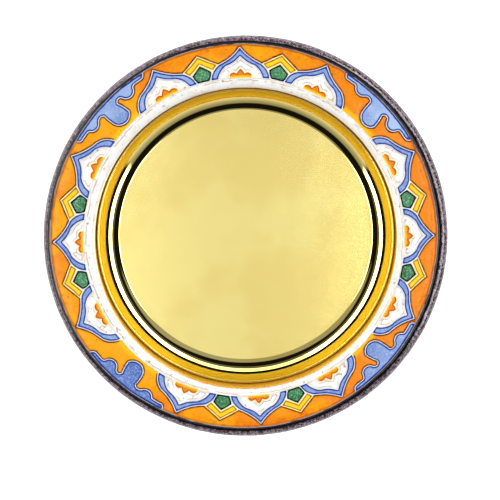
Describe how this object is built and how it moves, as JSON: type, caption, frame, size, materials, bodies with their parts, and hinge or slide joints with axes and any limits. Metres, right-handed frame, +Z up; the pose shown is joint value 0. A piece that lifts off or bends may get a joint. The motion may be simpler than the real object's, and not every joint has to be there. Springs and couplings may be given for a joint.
{
  "type": "paten plate",
  "caption": "Round ceremonial plate: a glazed earthenware border with ridged petal and cloud motifs around a polished gilt dish set in its well.",
  "frame": {"origin": "centre of the foot ring, on the surface that the plate rests on", "axes": "+Z up along the plate's axis of revolution; +Y towards the petal at the top of the plate as it is seen"},
  "size_m": [0.204, 0.204, 0.03],
  "materials": {
    "fired_clay": "fired cream earthenware, fine matte grain",
    "manganese_glaze": "mottled purple-black semi-gloss glaze",
    "white_glaze": "glossy white tin glaze with small pin marks",
    "orange_glaze": "glossy orange glaze, darker where it pools by the ridges",
    "blue_glaze": "glossy pale blue glaze, dark blue at its edges",
    "green_glaze": "glossy green glaze, near black at its edges",
    "yellow_glaze": "glossy yellow glaze",
    "crown_glaze": "glossy orange glaze fading to yellow",
    "gilt_brass": "mirror-polished gilding with faint turning marks",
    "adhesive": "matte cured adhesive"
  },
  "bodies": {
    "root": {"ceramic_body": "fired_clay", "lip_glaze": "manganese_glaze", "back_glaze": "white_glaze", "shoulder_glaze": "white_glaze", "gilt_dish": "gilt_brass", "adhesive_bed": "adhesive", "ground_glaze": "orange_glaze", "blue_cloud_northeast": "blue_glaze", "blue_cloud_northwest": "blue_glaze", "blue_cloud_southwest": "blue_glaze", "blue_cloud_southeast": "blue_glaze", "petal_border_east_1": "blue_glaze", "petal_field_east_1": "white_glaze", "petal_border_east_2": "blue_glaze", "petal_field_east_2": "white_glaze", "petal_border_east_3": "blue_glaze", "petal_field_east_3": "white_glaze", "crowns_east": "crown_glaze", "green_kite_east_1": "green_glaze", "yellow_chevron_east_1": "yellow_glaze", "green_kite_east_2": "green_glaze", "yellow_chevron_east_2": "yellow_glaze", "petal_border_north_1": "blue_glaze", "petal_field_north_1": "white_glaze", "petal_border_north_2": "blue_glaze", "petal_field_north_2": "white_glaze", "petal_border_north_3": "blue_glaze", "petal_field_north_3": "white_glaze", "crowns_north": "crown_glaze", "green_kite_north_1": "green_glaze", "yellow_chevron_north_1": "yellow_glaze", "green_kite_north_2": "green_glaze", "yellow_chevron_north_2": "yellow_glaze", "petal_border_west_1": "blue_glaze", "petal_field_west_1": "white_glaze", "petal_border_west_2": "blue_glaze", "petal_field_west_2": "white_glaze", "petal_border_west_3": "blue_glaze", "petal_field_west_3": "white_glaze", "crowns_west": "crown_glaze", "green_kite_west_1": "green_glaze", "yellow_chevron_west_1": "yellow_glaze", "green_kite_west_2": "green_glaze", "yellow_chevron_west_2": "yellow_glaze", "petal_border_south_1": "blue_glaze", "petal_field_south_1": "white_glaze", "petal_border_south_2": "blue_glaze", "petal_field_south_2": "white_glaze", "petal_border_south_3": "blue_glaze", "petal_field_south_3": "white_glaze", "crowns_south": "crown_glaze", "green_kite_south_1": "green_glaze", "yellow_chevron_south_1": "yellow_glaze", "green_kite_south_2": "green_glaze", "yellow_chevron_south_2": "yellow_glaze"}
  },
  "joints": []
}
